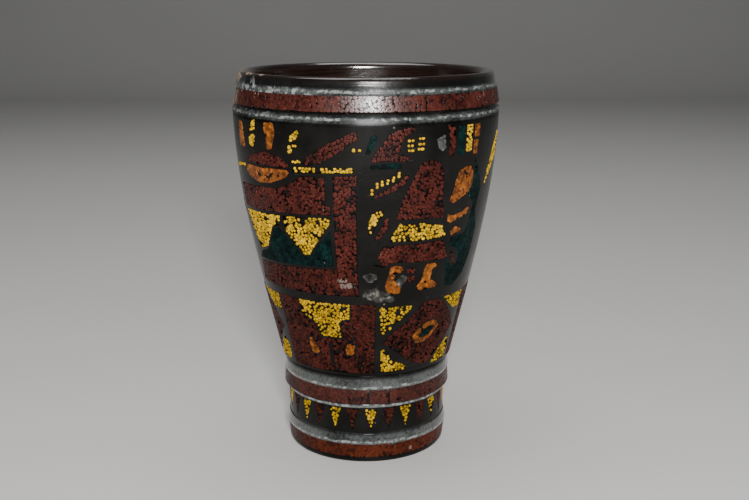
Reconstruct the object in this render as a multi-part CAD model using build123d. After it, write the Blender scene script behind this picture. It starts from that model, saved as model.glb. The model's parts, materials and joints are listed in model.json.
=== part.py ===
from build123d import *
import os
from math import cos, radians, sin

# Turned and inlaid wooden drinking beaker. Millimetres, +Z up, origin at the
# centre of the foot on the surface that the beaker stands on. Angles run round
# the +Z axis from the front (-Y) towards the right (+X).

# Overall sizes
cup_height = 180.0
rim_radius = 61.9  # top edge of the flared body, the widest place
waist_radius = 40.7  # lower edge of the flared body
foot_radius = 39.1  # sharp edge of the ring above the base band

# Heights of the turned members, from the foot up
foot_edge_height = 3.0
base_band_height = 6.6
base_ring_height = 4.8
frieze_height = 13.4
bead_height = 1.2
waist_groove_height = 1.1
waist_band_height = 6.9
waist_ring_height = 6.3
body_groove_height = 1.1

# Heights of the turned members, from the lip down
lip_height = 3.5
rim_ring_height = 3.7
rim_band_height = 6.7
rim_groove_height = 2.4
body_edge_height = 1.6

# Small steps of radius between the members
foot_edge_round = 2.2
base_band_lean = 1.1
base_band_inset = 0.2  # how far the band's upper edge lies inside the base ring
ring_shoulder = 1.2  # height of a ring's crest, before it slopes in
base_ring_slope = 0.9
frieze_sink = 1.2
bead_rise = 0.7
waist_groove_rise = 0.1  # the groove's floor, against the frieze
groove_depth = 1.3
lower_bevel = 0.35  # share of the rim groove's height that its lower side slopes over
upper_bevel = 0.2
groove_step = 0.4  # how far the groove under the body lies inside the waist ring's upper edge
waist_band_rise = 0.4  # the waist band's lower edge, against the body's lower edge
band_lean = 0.4
waist_ring_slope = 0.9
rim_band_sink = 0.05
rim_band_lean = 1.15
band_crown = 0.25
rim_ring_slope = 1.2
lip_round = 1.5
lip_lean = 0.2
lip_shoulder = 0.9  # how far in the outer edge of the lip is at the middle of its rounding
crest_half_width = 0.6
inner_shoulder = 1.5  # the same on the inner side, from the crest's middle
inner_drop = 0.6  # and how far the lip has dropped there

# The flare of the body: how fast the radius grows with height at its two ends
flare_at_waist = 0.238
flare_at_rim = 0.014

# Hollow
lip_width = 5.2
wall_at_waist = 9.0
floor_thickness = 18.0
inside_lean = 0.5
bowl_narrowing = 4.0  # how much the wall has closed in where it starts to turn into the floor
bowl_share = 0.75  # share of the waist's inner radius that the floor's curve starts from

# Inlay
pocket_depth = 0.8
inlay_proud = 0.25
inlay_gap = 0.7  # dark wood left between an inlay and the ground inlaid around it
field_margin = 0.7
lower_field_height = 36.0
divider_height = 2.9

# Repeats round the beaker
scene_copies = 2
panel_copies = 3
triangle_pairs = 14
triangle_share = 0.74  # of the pitch, taken up by a triangle's base
triangle_offset = 3.0  # angle of the first triangle
triangle_margin = 0.9  # dark wood above the triangles
triangle_tip = 2.2  # dark wood below their tips
bud_turn = 88.0  # from the bud at the front of a scene to the one at its end

# The scene and the panels are drawn on sheets of these heights, then scaled
scene_sheet = 79.0
panel_sheet = 36.0

# Stations up the outside
base_band_z = foot_edge_height
base_ring_z = base_band_z + base_band_height
frieze_z = base_ring_z + base_ring_height
bead_z = frieze_z + frieze_height
waist_groove_z = bead_z + bead_height
waist_band_z = waist_groove_z + waist_groove_height
waist_ring_z = waist_band_z + waist_band_height
body_groove_z = waist_ring_z + waist_ring_height
body_z = body_groove_z + body_groove_height
lip_z = cup_height - lip_height
rim_ring_z = lip_z - rim_ring_height
rim_band_z = rim_ring_z - rim_band_height
body_top_z = rim_band_z - rim_groove_height

lower_field_z = body_z + field_margin
scene_z = lower_field_z + lower_field_height + divider_height
scene_top_z = body_top_z - body_edge_height
scene_scale = (scene_top_z - scene_z) / scene_sheet
panel_scale = lower_field_height / panel_sheet

# Radii at those stations
frieze_radius = foot_radius - frieze_sink
waist_band_radius = waist_radius - waist_band_rise
body_groove_radius = waist_band_radius - waist_ring_slope - groove_step
rim_band_radius = rim_radius - rim_band_sink
rim_ring_radius = rim_band_radius - rim_band_lean
lip_radius = rim_ring_radius - rim_ring_slope
lip_inner_radius = lip_radius - lip_width
inner_waist_radius = waist_radius - wall_at_waist

FRONT = Plane.XZ  # its normal faces the front
HALF_SECTOR = 80.0  # angle either side of the front that an inlay can be cut from
CLEARANCE = 5.0  # how far an outline is pushed past the surface before it is cut
ROUNDING = 1 - cos(radians(45))  # how far in the middle of a rounded edge lies, as a share


def flare_controls(shift=0.0):
    """Control points of the cubic that the body flares along, moved out by shift."""
    third = (body_top_z - body_z) / 3
    return [
        (waist_radius + shift, body_z),
        (waist_radius + flare_at_waist * third + shift, body_z + third),
        (rim_radius - flare_at_rim * third + shift, body_top_z - third),
        (rim_radius + shift, body_top_z),
    ]


def flare_radius(height):
    """Outer radius of the body at a height."""
    t = (height - body_z) / (body_top_z - body_z)
    weights = ((1 - t) ** 3, 3 * t * (1 - t) ** 2, 3 * t**2 * (1 - t), t**3)
    return sum(w * point[0] for w, point in zip(weights, flare_controls()))


def crowned(low, high):
    """A slightly bulging line from one point of a section to another."""
    middle = ((low[0] + high[0]) / 2 + band_crown, (low[1] + high[1]) / 2)
    return ThreePointArc(low, middle, high)


def turned(line, angle=360.0):
    """The solid that a closed section in the XZ plane makes round the Z axis."""
    return revolve(make_face(Plane.XZ * line), Axis.Z, angle)


def band_ends(low_radius, high_radius, low_z, high_z):
    """Corners of a band inlay's section: lower outer, upper outer, upper inner, lower inner."""
    return [
        (low_radius, low_z),
        (high_radius, high_z),
        (high_radius - pocket_depth, high_z),
        (low_radius - pocket_depth, low_z),
    ]


base_band = band_ends(
    foot_radius - base_band_lean, foot_radius - base_band_inset, base_band_z, base_ring_z
)
waist_band = band_ends(waist_band_radius, waist_band_radius - band_lean, waist_band_z, waist_ring_z)
rim_band = band_ends(rim_band_radius, rim_ring_radius, rim_band_z, rim_ring_z)


def band_inlay(ends):
    """A ring of pigmented mastic that fills a turned channel."""
    return turned(crowned(ends[0], ends[1]) + Polyline(*ends[1:], ends[0]))


def vessel_blank():
    """The turned and hollowed block, with the three channels for the bands."""
    foot = foot_radius - base_band_lean
    groove_radius = rim_radius - groove_depth
    bead_radius = frieze_radius + bead_rise
    waist_groove_radius = frieze_radius + waist_groove_rise
    outside = Polyline(
        (0, floor_thickness),
        (0, 0),
        (foot - foot_edge_round, 0),
    )
    outside += ThreePointArc(
        (foot - foot_edge_round, 0),
        (foot - foot_edge_round * ROUNDING, foot_edge_round * ROUNDING),
        (foot, foot_edge_round),
    )
    outside += Polyline(
        (foot, foot_edge_round),
        base_band[0],
        base_band[3],
        base_band[2],
        base_band[1],
        (foot_radius, base_ring_z + ring_shoulder),
        (foot_radius - base_ring_slope, frieze_z),
        (frieze_radius, frieze_z),
        (frieze_radius, bead_z),
        (bead_radius, bead_z),
        (bead_radius, waist_groove_z),
        (waist_groove_radius, waist_groove_z),
        (waist_groove_radius, waist_band_z),
        waist_band[0],
        waist_band[3],
        waist_band[2],
        waist_band[1],
        (waist_band_radius, waist_ring_z + ring_shoulder),
        (waist_band_radius - waist_ring_slope, body_groove_z),
        (body_groove_radius, body_groove_z),
        (body_groove_radius, body_z),
        (waist_radius, body_z),
    )
    outside += Bezier(*flare_controls())
    outside += Polyline(
        (rim_radius, body_top_z),
        (groove_radius, body_top_z + rim_groove_height * lower_bevel),
        (groove_radius, rim_band_z - rim_groove_height * upper_bevel),
        rim_band[0],
        rim_band[3],
        rim_band[2],
        rim_band[1],
        (lip_radius, lip_z),
        (lip_radius - lip_lean, cup_height - lip_round),
    )
    crest_radius = lip_radius - lip_width / 2
    outside += ThreePointArc(
        (lip_radius - lip_lean, cup_height - lip_round),
        (lip_radius - lip_shoulder, cup_height - lip_round * ROUNDING),
        (crest_radius + crest_half_width, cup_height),
    )
    outside += ThreePointArc(
        (crest_radius + crest_half_width, cup_height),
        (crest_radius - inner_shoulder, cup_height - inner_drop),
        (lip_inner_radius, lip_z),
    )
    third = (lip_z - body_z) / 3
    inside = Bezier(
        (lip_inner_radius, lip_z),
        (lip_inner_radius + inside_lean, lip_z - third),
        (inner_waist_radius + flare_at_waist * third, body_z + third),
        (inner_waist_radius, body_z),
    )
    inside += Bezier(
        (inner_waist_radius, body_z),
        (inner_waist_radius - bowl_narrowing, (body_z + floor_thickness) / 2),
        (inner_waist_radius * bowl_share, floor_thickness),
        (0, floor_thickness),
    )
    return turned(outside + inside)


def flare_skin():
    """The layer of the flared body that inlays lie in, over a sector about the front."""
    low = flare_controls(-pocket_depth)
    high = flare_controls(inlay_proud)
    section = Bezier(*high) + Line(high[-1], low[-1]) + Bezier(*low) + Line(low[0], high[0])
    sector = turned(section, 2 * HALF_SECTOR)
    return Rot(0, 0, -90 - HALF_SECTOR) * sector


def frieze_skin():
    """The same layer of the narrow cylinder that the triangles lie in."""
    low = frieze_radius - pocket_depth
    high = frieze_radius + inlay_proud
    section = Polyline((low, frieze_z), (high, frieze_z), (high, bead_z), (low, bead_z), (low, frieze_z))
    sector = turned(section, 2 * HALF_SECTOR)
    return Rot(0, 0, -90 - HALF_SECTOR) * sector


def flat_outline(points, middle):
    """A closed outline of (angle, height, radius) points, seen square on at the middle angle."""
    flat = [(r * sin(radians(a - middle)), z) for a, z, r in points]
    return make_face(Polyline(*flat, flat[0]))


def pressed(face, skin, middle):
    """The inlay with a flat outline, cut from the skin and turned to its middle angle."""
    prism = extrude(FRONT * face, amount=rim_radius + CLEARANCE)
    return [Rot(0, 0, middle) * solid for solid in (prism & skin).solids()]


def middle_angle(outline):
    angles = [point[0] for point in outline]
    return (min(angles) + max(angles)) / 2


def placed(outline, floor, scale):
    """Sheet points (angle, height) as (angle, height, radius) points of the flared body."""
    heights = [floor + height * scale for _, height in outline]
    return [(point[0], z, flare_radius(z)) for point, z in zip(outline, heights)]


def scene_inlay(outlines, holes=()):
    """Inlays of the upper field. A hole leaves the dark wood showing, as at an eye."""
    solids = []
    for outline in outlines:
        middle = middle_angle(outline)
        face = flat_outline(placed(outline, scene_z, scene_scale), middle)
        for hole in holes:
            face -= flat_outline(placed(hole, scene_z, scene_scale), middle)
        solids += pressed(face, SKIN, middle)
    return solids


def panel_inlay(outlines, middle, cut=()):
    """Inlays of one lower panel, with other outlines and their gaps cut from them."""
    solids = []
    for outline in outlines:
        face = flat_outline(placed(outline, lower_field_z, panel_scale), middle)
        for other in cut:
            inner = flat_outline(placed(other, lower_field_z, panel_scale), middle)
            face -= offset(inner, amount=inlay_gap, kind=Kind.INTERSECTION)
        solids += pressed(face, SKIN, middle)
    return solids


def bar(angle, height, width, tall):
    """A small upright or level bar about its centre."""
    a, b = angle - width / 2, angle + width / 2
    return [(a, height), (b, height), (b, height + tall), (a, height + tall)]


def repeated(solids, copies, turn=0.0):
    step = 360.0 / copies
    return [Rot(0, 0, turn + k * step) * solid for k in range(copies) for solid in solids]


# The upper field. Each outline is a list of (angle, height) points on the scene's sheet.
yellow_plumes = [
    [(-56, 72.2), (-54.5, 75.4), (-53, 77.8), (-51, 77.8), (-51.6, 73.2)],
    [(-56.8, 69.4), (-55.2, 70.7), (-51.8, 71.9), (-52, 68), (-54.2, 64.9), (-56.6, 66.6)],
    [
        (-29.6, 73.6), (-28.8, 75.4), (-27.2, 74.4), (-27.6, 71.6), (-30, 70.2), (-31.8, 69.4),
        (-32.2, 71), (-31, 73),
    ],
    [(-30.7, 68.3), (-29.8, 69.4), (-28.6, 69.2), (-28.2, 67.9), (-29.2, 67), (-30.4, 67.2)],
    [(-33.2, 65.6), (-32.6, 68.4), (-31.4, 68.3), (-30.6, 66), (-31.2, 64.6), (-32.6, 64.5)],
    [(-31.5, 60.3), (-27, 60.8), (-27, 62.3), (-31.5, 61.9)],
]
orange_plumes = [
    [(-66.5, 65), (-61, 64.5), (-62.5, 76), (-66, 76)],
    [(-45, 77), (-40, 77.5), (-39, 73), (-41.4, 65.6), (-43.2, 65), (-44.5, 66.4), (-44, 71), (-45.5, 74)],
]
cap = [(-61, 58.4), (-55, 62), (-45, 64.6), (-38, 63), (-32.5, 59.4), (-34, 58.1), (-48, 58)]
front_face = [
    (-62, 55.6), (-60.5, 57), (-50, 56.8), (-41, 57.2), (-34, 57.2), (-33, 56.2), (-34.5, 54), (-38, 52.4),
    (-44, 50.4), (-51, 49.7), (-58, 51.2), (-61.5, 53.4),
]
front_face_marks = [
    [(-52.8, 54.8), (-51, 54.4), (-49.6, 53), (-51.8, 52.7)],
    [
        (-48.2, 54), (-46, 53.6), (-45, 53.4), (-43.6, 54.4), (-42, 55.4), (-42.6, 54),
        (-44.4, 52.2), (-46, 52.3), (-46.8, 53.1),
    ],
    [(-40, 54.3), (-38.6, 54.8), (-37.9, 54.1), (-39.4, 53.5)],
]
staffs = [
    [(-31, 56.6), (-5.2, 57.4), (-5.2, 59.8), (-31, 59)],
    [(-75, 54), (-63.2, 55.5), (-63.2, 57.5), (-75, 55.8)],
]
wing = [(-26, 60.5), (-24, 64), (-15, 70), (-4, 75.5), (-3, 72), (-10, 66.5), (-18, 61.5), (-24, 59.9)]
wing_dots = [bar(-5, 66.4, 1.7, 1.7), bar(-2.6, 66.4, 1.7, 1.7)]
tunic = [
    (-72, 47), (-50, 48), (-40, 48.5), (-33, 51.5), (-27, 55.4), (-17, 55.2),
    (-17, 42.5), (-15, 42.5), (-15, 38.5), (-40, 37.5), (-72, 36),
]
frame = [
    (-13.5, 55.8), (-3.5, 56.2), (-3.5, 0.5), (-70, 0.5), (-65, 11), (-20, 13), (-13.5, 13.5),
]
collar_points = [
    [(-72, 34.6), (-41, 36), (-42, 31), (-47, 30.5), (-54, 19.5), (-62, 17), (-66, 24)],
    [
        (-39.5, 36.2), (-15.5, 37.2), (-16, 34), (-25, 22), (-27, 19), (-30, 19),
        (-31, 21), (-35, 24), (-38.5, 29),
    ],
]
collar_ground = [
    (-46.5, 29.2), (-43, 30), (-40, 28), (-35, 22.6), (-31.3, 18.8), (-27, 17.7), (-24, 21.5),
    (-19, 27), (-16, 31), (-15.5, 14.6), (-40, 13.4), (-66, 12.2), (-62, 15.8), (-55, 17.8), (-52.5, 20),
]
bird = [
    (2, 62.3), (3, 65), (6.5, 70), (9, 73.6), (13, 75.8), (19, 77), (20.2, 75.6), (16, 73.2), (14, 70.5),
    (13.5, 67), (15, 65), (17.2, 63.8), (16.5, 62), (10, 62.6), (3, 61.9),
]
bird_edge = [
    [(1.5, 59), (14, 59.3), (14.2, 61.2), (10, 61.6), (1.5, 60.8)],
    [(-0.4, 65.6), (1.4, 65.6), (4.6, 72.2), (4, 74), (1.8, 73)],
]
bird_bars = [
    bar(angle, height, 3.2, 1.2)
    for angle, height in ((17.9, 66.1), (17.9, 68.2), (17.9, 70.3), (22.2, 66.6), (22.2, 68.7), (22.2, 71))
]
pale_patch = [(29, 71), (33, 73), (33.6, 67), (32, 65.5), (30, 67)]
headdress_red = [
    [(34, 77), (38, 76), (38.5, 68), (38, 63.5), (36, 62.5), (35, 64), (35.5, 70)],
]
headdress_orange = [
    [(50, 70.2), (53.5, 70.2), (53.5, 76), (50, 76)],
    [(49.8, 62.6), (52.5, 62.6), (52.8, 69), (49.8, 69)],
]
headdress_teal = [[(40, 63), (43.5, 63), (43.5, 76), (40, 76)]]
headdress_yellow = [[(44.7, 64), (48.6, 64), (48.6, 76), (44.7, 76)]]
pod = [(2, 46), (5, 48.5), (10, 51), (14, 54), (16, 56.5), (17.5, 56), (16, 52.5), (12, 49.5), (6, 47)]
pod_bars = [
    bar(angle, height, 1.3, 3.0)
    for angle, height in ((2.4, 47.6), (4.4, 50.4), (6.5, 51.6), (8.8, 52.2), (11, 53.2), (13.2, 54.9))
]
bud = [
    (5, 41), (7.3, 40.5), (7, 38.5), (4.8, 36), (3.8, 33), (3, 30.5), (1, 30), (0.7, 32), (1, 36),
    (2.5, 39.5),
]
bud_stem = [(3.5, 27.5), (6, 28), (9.5, 33), (9.5, 37.5), (8, 37), (6.5, 33)]
robe = [
    (12.5, 36.5), (15.8, 47), (18.6, 52.5), (22.4, 61), (27, 62.3), (31, 61), (33.5, 57), (34, 44),
    (36, 37.5), (36, 35.6), (20, 36.5),
]
belt = [
    (10.5, 26.5), (11, 30), (13.5, 32.5), (14.5, 35), (16, 34), (22, 34.5), (28, 34),
    (36, 32), (37, 29), (39.3, 27.2), (35, 26.5), (25, 26.1),
]
skirt = [
    (3.5, 15.5), (7.5, 24.5), (20, 24.7), (37, 25), (39, 22), (42, 16.5), (38, 15.7), (25, 16), (12, 16.6),
    (8, 14.5),
]
profile_face = [
    (38, 43), (39.5, 47), (40.5, 52), (42, 56), (46, 57.5), (50, 57.5), (51.5, 54), (51.5, 49),
    (50, 46), (46, 44), (40, 41.5),
]
profile_eye = [[(44.2, 56.2), (45.6, 55.8), (47.6, 54.2), (46.8, 53.4), (45.2, 54.4)]]
arms = [
    [(38, 37), (38.2, 33.6), (40, 32.5), (45, 34), (50, 35), (52, 38), (50.5, 38.5), (47, 36.8), (40.5, 36)],
    [(41, 28.3), (44, 30.5), (48, 29), (48, 27.2), (44, 27.3), (42, 26.4)],
]
cloak = [
    (51.5, 61), (55, 56), (60, 46), (58, 36), (62, 28), (62, 16), (58, 6), (50, 1), (43, 2), (43.5, 7),
    (41, 13), (42.3, 15.4), (46, 10.6), (49.6, 12), (51, 14.4), (49, 19), (42, 22), (42, 25), (52, 26),
    (54, 32), (55, 40), (50, 43.6), (53.5, 51),
]
cloak_streak = [(44.3, 19), (48, 12.6), (46.8, 11.8), (43.7, 17.4)]
cloak_border = [(63, 46), (68, 52), (75, 59), (80, 69), (77, 70.5), (70, 64), (65, 54)]
legs = [
    [
        (10, 9), (11.5, 14.5), (14, 15.2), (17, 14.5), (18, 13), (17, 11.5), (14.5, 11.5), (13, 8.5),
        (17, 4.5), (17, 1.5), (13, 1.3), (10, 2.5), (9, 5),
    ],
    [
        (28.5, 11.5), (30, 14.6), (35, 14.4), (36, 13), (33.5, 11.5), (33, 7), (37.5, 4.5), (38.5, 2.5),
        (27, 2), (25.5, 4), (28, 7),
    ],
]
ground_bits = [bar(21.7, 11, 4.7, 2.2), bar(22, 6.8, 4.2, 2.8)]

# The lower field. A stepped panel and a diamond panel take turns round the beaker.
stepped_ground = [(-53.5, 0.5), (5, 0.5), (5, 35.5), (-53.5, 35.5)]
stepped_middle = middle_angle(stepped_ground)
steps = [
    (-38, 35.5), (-37.5, 29), (-33, 26.5), (-30, 26), (-26, 18.5), (-14, 18.5), (-15, 26),
    (-13, 27.5), (-9, 28), (-8.5, 35.5),
]
step_marks = [
    [(-36.3, 16.4), (-33.8, 16.8), (-30, 12.4), (-29.4, 10), (-31, 8.8), (-34.6, 8.8), (-35, 11)],
    [(-12.3, 12.4), (-11.2, 15.2), (-8, 15.8), (-6.2, 14.8), (-6.8, 12), (-7.4, 9.8), (-11.6, 9.8)],
]
step_slit = bar(-21, 4.5, 0.6, 10.5)
diamond = [
    (9, 16), (15, 21), (24, 27), (31, 34.5), (42, 35), (47, 32), (56, 25), (62, 18), (58, 15),
    (50, 8), (44, 3), (38, 2), (28, 5), (18, 11),
]
diamond_middle = middle_angle(diamond)
eye_ring = [(27, 17.5), (30, 21), (36, 24), (42, 24.5), (46, 21.5), (42, 17), (36, 14), (30, 14)]
eye_core = [(32.5, 18), (35, 20), (39, 21.2), (41.5, 20.8), (39, 18.2), (35, 17)]
corners = [
    [(6.4, 34.2), (24.6, 33.8), (24.2, 32), (20, 28.4), (17.6, 26.2), (11, 25), (10.6, 20.4), (7.8, 20)],
    [(11.6, 23.6), (13.6, 24.2), (14.4, 23.2), (13.2, 22.2), (11.8, 22.4)],
    [(8.2, 12), (10.4, 12.8), (13, 10.6), (15, 8.6), (14.6, 7), (20, 5.2), (25, 3.6), (26, 1), (8.5, 0.8)],
    [(45.3, 35), (50, 31.4), (58, 27), (65, 27), (65, 35)],
    [(46, 1), (50, 6.3), (55, 10.2), (60, 12.5), (64, 7), (61, 1)],
]


def frieze_triangles(first):
    """A ring of small triangles that hang point down, one to a pitch."""
    pitch = 180.0 / triangle_pairs
    half = pitch * triangle_share / 2
    top = bead_z - triangle_margin
    tip = frieze_z + triangle_tip
    corners_at = [(-half, top), (half, top), (0, tip)]
    face = flat_outline([(a, z, frieze_radius) for a, z in corners_at], 0)
    return repeated(pressed(face, FRIEZE_SKIN, 0), triangle_pairs, first)


SKIN = flare_skin()
FRIEZE_SKIN = frieze_skin()

scene_nodes = {
    "warrior_yellow_plumes": scene_inlay(yellow_plumes),
    "warrior_orange_plumes": scene_inlay(orange_plumes),
    "warrior_cap": scene_inlay([cap]),
    "warrior_face": scene_inlay([front_face], front_face_marks),
    "warrior_staffs": scene_inlay(staffs),
    "warrior_wing": scene_inlay([wing]),
    "warrior_wing_dots": scene_inlay(wing_dots),
    "warrior_tunic": scene_inlay([tunic]),
    "scene_frame": scene_inlay([frame]),
    "collar_points": scene_inlay(collar_points),
    "collar_ground": scene_inlay([collar_ground]),
    "bird_body": scene_inlay([bird]),
    "bird_edge": scene_inlay(bird_edge),
    "bird_bars": scene_inlay(bird_bars),
    "pale_patch": scene_inlay([pale_patch]),
    "headdress_red_plume": scene_inlay(headdress_red),
    "headdress_teal_plume": scene_inlay(headdress_teal),
    "headdress_yellow_plume": scene_inlay(headdress_yellow),
    "headdress_orange_plumes": scene_inlay(headdress_orange),
    "pod": scene_inlay([pod]),
    "pod_bars": scene_inlay(pod_bars),
    "bud": scene_inlay([bud]),
    "bud_stem": scene_inlay([bud_stem]),
    "robe": scene_inlay([robe]),
    "robe_belt": scene_inlay([belt]),
    "robe_skirt": scene_inlay([skirt]),
    "profile_face": scene_inlay([profile_face], profile_eye),
    "profile_arms": scene_inlay(arms),
    "cloak": scene_inlay([cloak]),
    "cloak_streak": scene_inlay([cloak_streak]),
    "cloak_border": scene_inlay([cloak_border]),
    "figure_legs": scene_inlay(legs),
    "ground_bits": scene_inlay(ground_bits),
}
panel_nodes = {
    "stepped_panel_ground": panel_inlay([stepped_ground], stepped_middle, [steps, *step_marks, step_slit]),
    "stepped_panel_steps": panel_inlay([steps], stepped_middle),
    "stepped_panel_marks": panel_inlay(step_marks, stepped_middle),
    "diamond_panel_ground": panel_inlay([diamond], diamond_middle, [eye_ring]),
    "diamond_panel_ring": panel_inlay([eye_ring], diamond_middle, [eye_core]),
    "diamond_panel_core": panel_inlay([eye_core], diamond_middle),
    "diamond_panel_corners": panel_inlay(corners, diamond_middle),
}

parts = {
    "rim_band": [band_inlay(rim_band)],
    "waist_band": [band_inlay(waist_band)],
    "base_band": [band_inlay(base_band)],
    "frieze_yellow_triangles": frieze_triangles(triangle_offset),
    "frieze_red_triangles": frieze_triangles(triangle_offset + 180.0 / triangle_pairs),
}
for name, solids in scene_nodes.items():
    parts[name] = repeated(solids, scene_copies)
for name in ("bud", "bud_stem"):
    parts[name] += repeated(scene_nodes[name], scene_copies, bud_turn)
for name, solids in panel_nodes.items():
    parts[name] = repeated(solids, panel_copies)

set_in = [solid for name, solids in parts.items() if not name.endswith("_band") for solid in solids]
vessel = vessel_blank().cut(*set_in)
parts["vessel_body"] = vessel.solids()

os.makedirs("parts", exist_ok=True)
for name, solids in parts.items():
    export_step(Compound(children=list(solids)), f"parts/{name}.step")
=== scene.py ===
# %% [markdown]
# # An old wooden beaker, inlaid with coloured mastic
# The real thing is one block of dark hardwood, turned to a flared cup, lacquered, and cut with
# shallow pockets. The pockets are filled with pigmented plant resin, pressed in as small dabs.
# The solid model already holds every size, so this file only gives each piece its true surface.

# %% Load the solid model
import bpy
import bmesh
import json
import numpy as np
from math import atan2, cos, hypot, pi, radians, sin
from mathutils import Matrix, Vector


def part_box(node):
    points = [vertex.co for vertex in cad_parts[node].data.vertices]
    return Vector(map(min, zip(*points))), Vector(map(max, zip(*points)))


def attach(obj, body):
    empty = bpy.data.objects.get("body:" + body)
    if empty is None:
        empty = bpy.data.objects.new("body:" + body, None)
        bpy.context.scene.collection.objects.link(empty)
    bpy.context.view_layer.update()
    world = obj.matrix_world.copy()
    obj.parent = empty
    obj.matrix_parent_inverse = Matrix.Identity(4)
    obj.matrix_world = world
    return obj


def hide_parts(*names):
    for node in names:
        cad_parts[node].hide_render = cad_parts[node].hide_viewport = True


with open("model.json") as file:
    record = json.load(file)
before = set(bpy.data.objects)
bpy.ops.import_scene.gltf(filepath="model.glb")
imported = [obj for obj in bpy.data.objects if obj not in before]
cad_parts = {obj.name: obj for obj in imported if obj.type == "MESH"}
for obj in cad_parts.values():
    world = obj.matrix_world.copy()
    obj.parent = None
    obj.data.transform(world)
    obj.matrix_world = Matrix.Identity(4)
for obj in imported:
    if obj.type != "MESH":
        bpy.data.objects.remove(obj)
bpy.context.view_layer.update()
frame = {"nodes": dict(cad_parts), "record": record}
cad_nodes = frame["nodes"]
slot_of = {part["node"]: part["material_slot"] for part in frame["record"]["subparts"]}
MM = 0.001

# %% [markdown]
# ## Camera
# A beaker on a table is usually seen from a little above. The camera stands half a metre in front,
# just over the rim's height, and looks down by about thirteen degrees. A normal lens keeps the
# rings' ellipses as open as they look in real life. It is turned a touch to the right, which puts
# the beaker slightly left of the middle.

# %% Camera
eye_distance = 488 * MM
eye_height = 210.3 * MM
look_down = 13.45
look_right = 0.47

camera_data = bpy.data.cameras.new("table_camera")
camera_data.lens = 49.9
camera_data.sensor_width = 36.0
camera = bpy.data.objects.new("table_camera", camera_data)
camera.location = (0.0, -eye_distance, eye_height)
camera.rotation_euler = (radians(90 - look_down), 0.0, radians(-look_right))
bpy.context.scene.collection.objects.link(camera)
bpy.context.scene.camera = camera
print("camera", round(eye_distance / MM), "mm in front,", round(eye_height / MM), "mm up")

# %% [markdown]
# ## Floor
# A product table has a sheet of paper that lies flat and then curves up behind. It can be one
# plane, but a swept sheet has no horizon line, so nothing in the background distracts. The sheet
# is made from a line of points that is pushed sideways.

# %% Floor sweep
floor_half_width = 3.0
floor_front = -2.0
floor_back = 1.8
sweep_radius = 0.8
paper_top = 3.0
sweep_steps = 16


def sweep_profile():
    """Points (y, z) of the paper: flat, then a quarter circle, then upright."""
    points = [(floor_front, 0.0)]
    for k in range(sweep_steps + 1):
        turn = pi / 2 * k / sweep_steps
        points.append((floor_back + sweep_radius * sin(turn), sweep_radius * (1 - cos(turn))))
    points.append((floor_back + sweep_radius, paper_top))
    return points


def make_floor():
    profile = sweep_profile()
    verts = [(side * floor_half_width, y, z) for side in (-1, 1) for y, z in profile]
    count = len(profile)
    faces = [(k, count + k, count + k + 1, k + 1) for k in range(count - 1)]
    mesh = bpy.data.meshes.new("paper_sweep")
    mesh.from_pydata(verts, [], faces)
    for face in mesh.polygons:
        face.use_smooth = True
    sheet = bpy.data.objects.new("paper_sweep", mesh)
    bpy.context.scene.collection.objects.link(sheet)
    return sheet


floor = make_floor()
print("floor made of", len(floor.data.polygons), "strips")

# %% [markdown]
# ## Light
# Lacquer shows its shape by what it mirrors. A small softbox stands behind and above the camera,
# a little to the right, and gives the narrow highlights on the lip, on the bands and inside the
# far wall. A wide weak one overhead fills in the rest. A bright room would turn the black lacquer
# grey, so the world stays dim.

# %% Lights
def softbox(name, place, aim, width, height, watts):
    """A rectangular area light at place, facing aim."""
    data = bpy.data.lights.new(name, "AREA")
    data.shape = "RECTANGLE"
    data.size = width
    data.size_y = height
    data.energy = watts
    light = bpy.data.objects.new(name, data)
    light.location = place
    light.rotation_euler = (Vector(aim) - Vector(place)).to_track_quat("-Z", "Y").to_euler()
    bpy.context.scene.collection.objects.link(light)
    return light


beaker_middle = (0.0, 0.0, 0.1)
softbox("front_softbox", (0.05, -0.95, 0.45), beaker_middle, 0.22, 0.14, 18)
softbox("top_softbox", (-0.1, 0.2, 1.5), beaker_middle, 1.2, 0.9, 9)

# %% Dim room
room_colour = (0.9, 0.95, 1.0, 1.0)
room_strength = 0.05

world = bpy.data.worlds.new("dim_room")
world.use_nodes = True
background = world.node_tree.nodes["Background"]
background.inputs["Color"].default_value = room_colour
background.inputs["Strength"].default_value = room_strength
bpy.context.scene.world = world

# %% [markdown]
# ## Small helpers for shader trees
# A shader is a tree of nodes. Made by hand in the editor it is quick, and in code it gets long, so
# a few helpers keep it readable: they add any node and join its inputs, do arithmetic, mix two
# colours, and combine masks.

# %% Add and join nodes
def join(tree, value, socket):
    """Feeds a socket with another node's output, or with a plain value."""
    if isinstance(value, bpy.types.NodeSocket):
        tree.links.new(value, socket)
    else:
        socket.default_value = value


def add(tree, kind, inputs=None, **settings):
    """Adds a node of a kind such as TexNoise, sets its properties and joins its inputs."""
    made = tree.nodes.new("ShaderNode" + kind)
    for name, value in settings.items():
        setattr(made, name, value)
    for key, value in (inputs or {}).items():
        join(tree, value, made.inputs[key])
    return made


# %% Arithmetic and colour
def sums(tree, operation, a, b=0.0, c=0.0, clamp=False):
    """One step of arithmetic, with its answer's socket as the result."""
    step = add(tree, "Math", {0: a, 1: b, 2: c}, operation=operation, use_clamp=clamp)
    return step.outputs[0]


def product(tree, first, *others):
    """Several values multiplied together."""
    for other in others:
        first = sums(tree, "MULTIPLY", first, other)
    return first


def strongest(tree, first, *others):
    """The highest of several values at each point."""
    for other in others:
        first = sums(tree, "MAXIMUM", first, other)
    return first


def ramp(tree, value, low, high, to_low=0.0, to_high=1.0):
    """A smooth step from to_low to to_high as value goes from low to high."""
    inputs = {"Value": value, "From Min": low, "From Max": high, "To Min": to_low, "To Max": to_high}
    return add(tree, "MapRange", inputs, interpolation_type="SMOOTHSTEP").outputs["Result"]


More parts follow.
